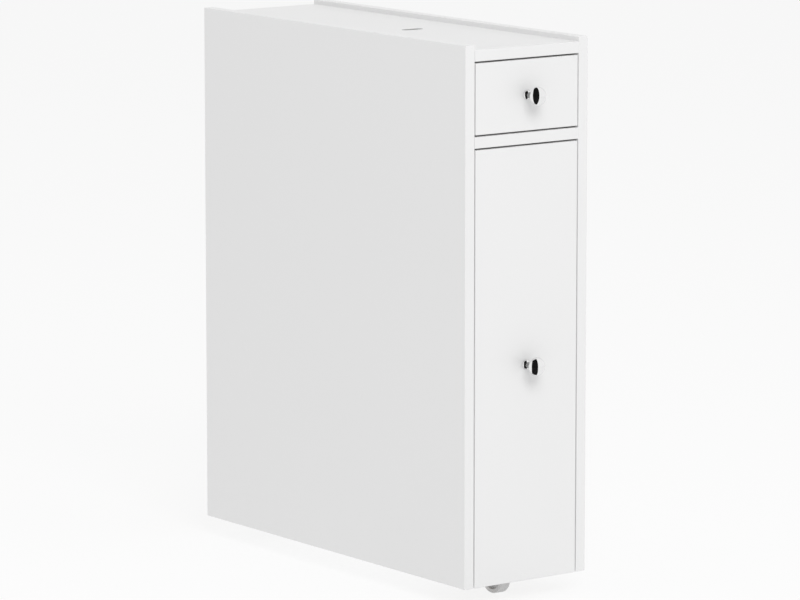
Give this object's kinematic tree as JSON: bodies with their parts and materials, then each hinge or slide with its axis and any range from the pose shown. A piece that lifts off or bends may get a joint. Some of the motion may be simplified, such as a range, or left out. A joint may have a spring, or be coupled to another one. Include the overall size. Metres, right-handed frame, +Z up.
{
  "type": "narrow bathroom cabinet",
  "caption": "Tall slim white cabinet on low castors, with a small drawer over a full-height pull-out with shelves, each with a round chrome knob; the flat top has an oblong finger slot.",
  "frame": {"origin": "on the floor, below the middle of the box round the whole closed cabinet", "axes": "+Z up, fronts and knobs towards -Y, +X to the right seen from the front"},
  "size_m": [0.16, 0.4974, 0.59],
  "materials": {
    "white_board": "satin white lacquer",
    "white_hardboard": "matt white face, bare brown rear face",
    "bare_beech": "planed, unfinished",
    "polished_chrome": "polished",
    "grey_wheel_plastic": "moulded, satin",
    "white_nylon": "moulded, satin",
    "zinc_plated_steel": "bright zinc",
    "aluminium": "drawn, satin"
  },
  "bodies": {
    "carcass": {"side_panel_left": "white_board", "side_panel_right": "white_board", "top_board": "white_board", "divider_board": "white_board", "bottom_board": "white_board", "back_panel": "white_hardboard", "carcass_dowels": "bare_beech", "drawer_runner_left": "bare_beech", "drawer_runner_right": "bare_beech", "drawer_runner_screws": "zinc_plated_steel", "drawer_stop_peg": "bare_beech", "guide_channel": "aluminium", "guide_channel_screws": "zinc_plated_steel", "guide_stop_pin": "zinc_plated_steel", "castor_axles": "zinc_plated_steel", "castor_screws": "zinc_plated_steel", "castor_fork_front_left": "zinc_plated_steel", "castor_fork_front_right": "zinc_plated_steel", "castor_fork_rear_left": "zinc_plated_steel", "castor_fork_rear_right": "zinc_plated_steel"},
    "drawer": {"drawer_front": "white_board", "drawer_side_left": "white_board", "drawer_side_right": "white_board", "drawer_back": "white_board", "drawer_bottom": "white_hardboard", "drawer_dowels": "bare_beech", "drawer_knob": "polished_chrome", "drawer_knob_screw": "zinc_plated_steel"},
    "pullout": {"pullout_front": "white_board", "pullout_bottom": "white_board", "pullout_back": "white_board", "pullout_shelf_lower": "white_board", "pullout_shelf_upper": "white_board", "pullout_dowels": "bare_beech", "pullout_knob": "polished_chrome", "pullout_knob_screw": "zinc_plated_steel", "pullout_castor_block": "bare_beech", "pullout_castor_fork": "zinc_plated_steel", "pullout_castor_axle": "zinc_plated_steel", "pullout_castor_screws": "zinc_plated_steel", "guide_block": "white_nylon", "guide_block_screw": "zinc_plated_steel", "roller_screws": "zinc_plated_steel", "guard_rod_lower_left": "polished_chrome", "guard_rod_lower_right": "polished_chrome", "guard_rod_middle_left": "polished_chrome", "guard_rod_middle_right": "polished_chrome", "guard_rod_upper_left": "polished_chrome", "guard_rod_upper_right": "polished_chrome"},
    "pullout_castor": {"pullout_castor_wheel": "grey_wheel_plastic"},
    "roller_left": {"roller_left": "white_nylon"},
    "roller_right": {"roller_right": "white_nylon"},
    "castor_front_left": {"castor_wheel_front_left": "grey_wheel_plastic"},
    "castor_front_right": {"castor_wheel_front_right": "grey_wheel_plastic"},
    "castor_rear_left": {"castor_wheel_rear_left": "grey_wheel_plastic"},
    "castor_rear_right": {"castor_wheel_rear_right": "grey_wheel_plastic"}
  },
  "joints": [
    {"name": "drawer_slide", "type": "slide", "parent": "carcass", "child": "drawer", "axis": [0, -1, 0], "range_m": [0, 0.3]},
    {"name": "pullout_slide", "type": "slide", "parent": "carcass", "child": "pullout", "axis": [0, -1, 0], "range_m": [0, 0.35]},
    {"name": "pullout_castor_spin", "type": "hinge", "parent": "pullout", "child": "pullout_castor", "pos_m": [0, -0.1733, 0.0175], "axis": [1, 0, 0], "continuous": true},
    {"name": "roller_left_spin", "type": "hinge", "parent": "pullout", "child": "roller_left", "pos_m": [-0.0623, 0.2177, 0.06], "axis": [1, 0, 0], "continuous": true},
    {"name": "roller_right_spin", "type": "hinge", "parent": "pullout", "child": "roller_right", "pos_m": [0.0623, 0.2177, 0.06], "axis": [1, 0, 0], "continuous": true},
    {"name": "castor_front_left_spin", "type": "hinge", "parent": "carcass", "child": "castor_front_left", "pos_m": [-0.015, -0.1233, 0.0175], "axis": [1, 0, 0], "continuous": true},
    {"name": "castor_front_right_spin", "type": "hinge", "parent": "carcass", "child": "castor_front_right", "pos_m": [0.015, -0.1233, 0.0175], "axis": [1, 0, 0], "continuous": true},
    {"name": "castor_rear_left_spin", "type": "hinge", "parent": "carcass", "child": "castor_rear_left", "pos_m": [-0.015, 0.2087, 0.0175], "axis": [1, 0, 0], "continuous": true},
    {"name": "castor_rear_right_spin", "type": "hinge", "parent": "carcass", "child": "castor_rear_right", "pos_m": [0.015, 0.2087, 0.0175], "axis": [1, 0, 0], "continuous": true}
  ],
  "couplings": [
    {"joint": "roller_left_spin", "follows": "pullout_slide", "rad_per_m": 128.21},
    {"joint": "roller_right_spin", "follows": "pullout_slide", "rad_per_m": 128.21}
  ]
}
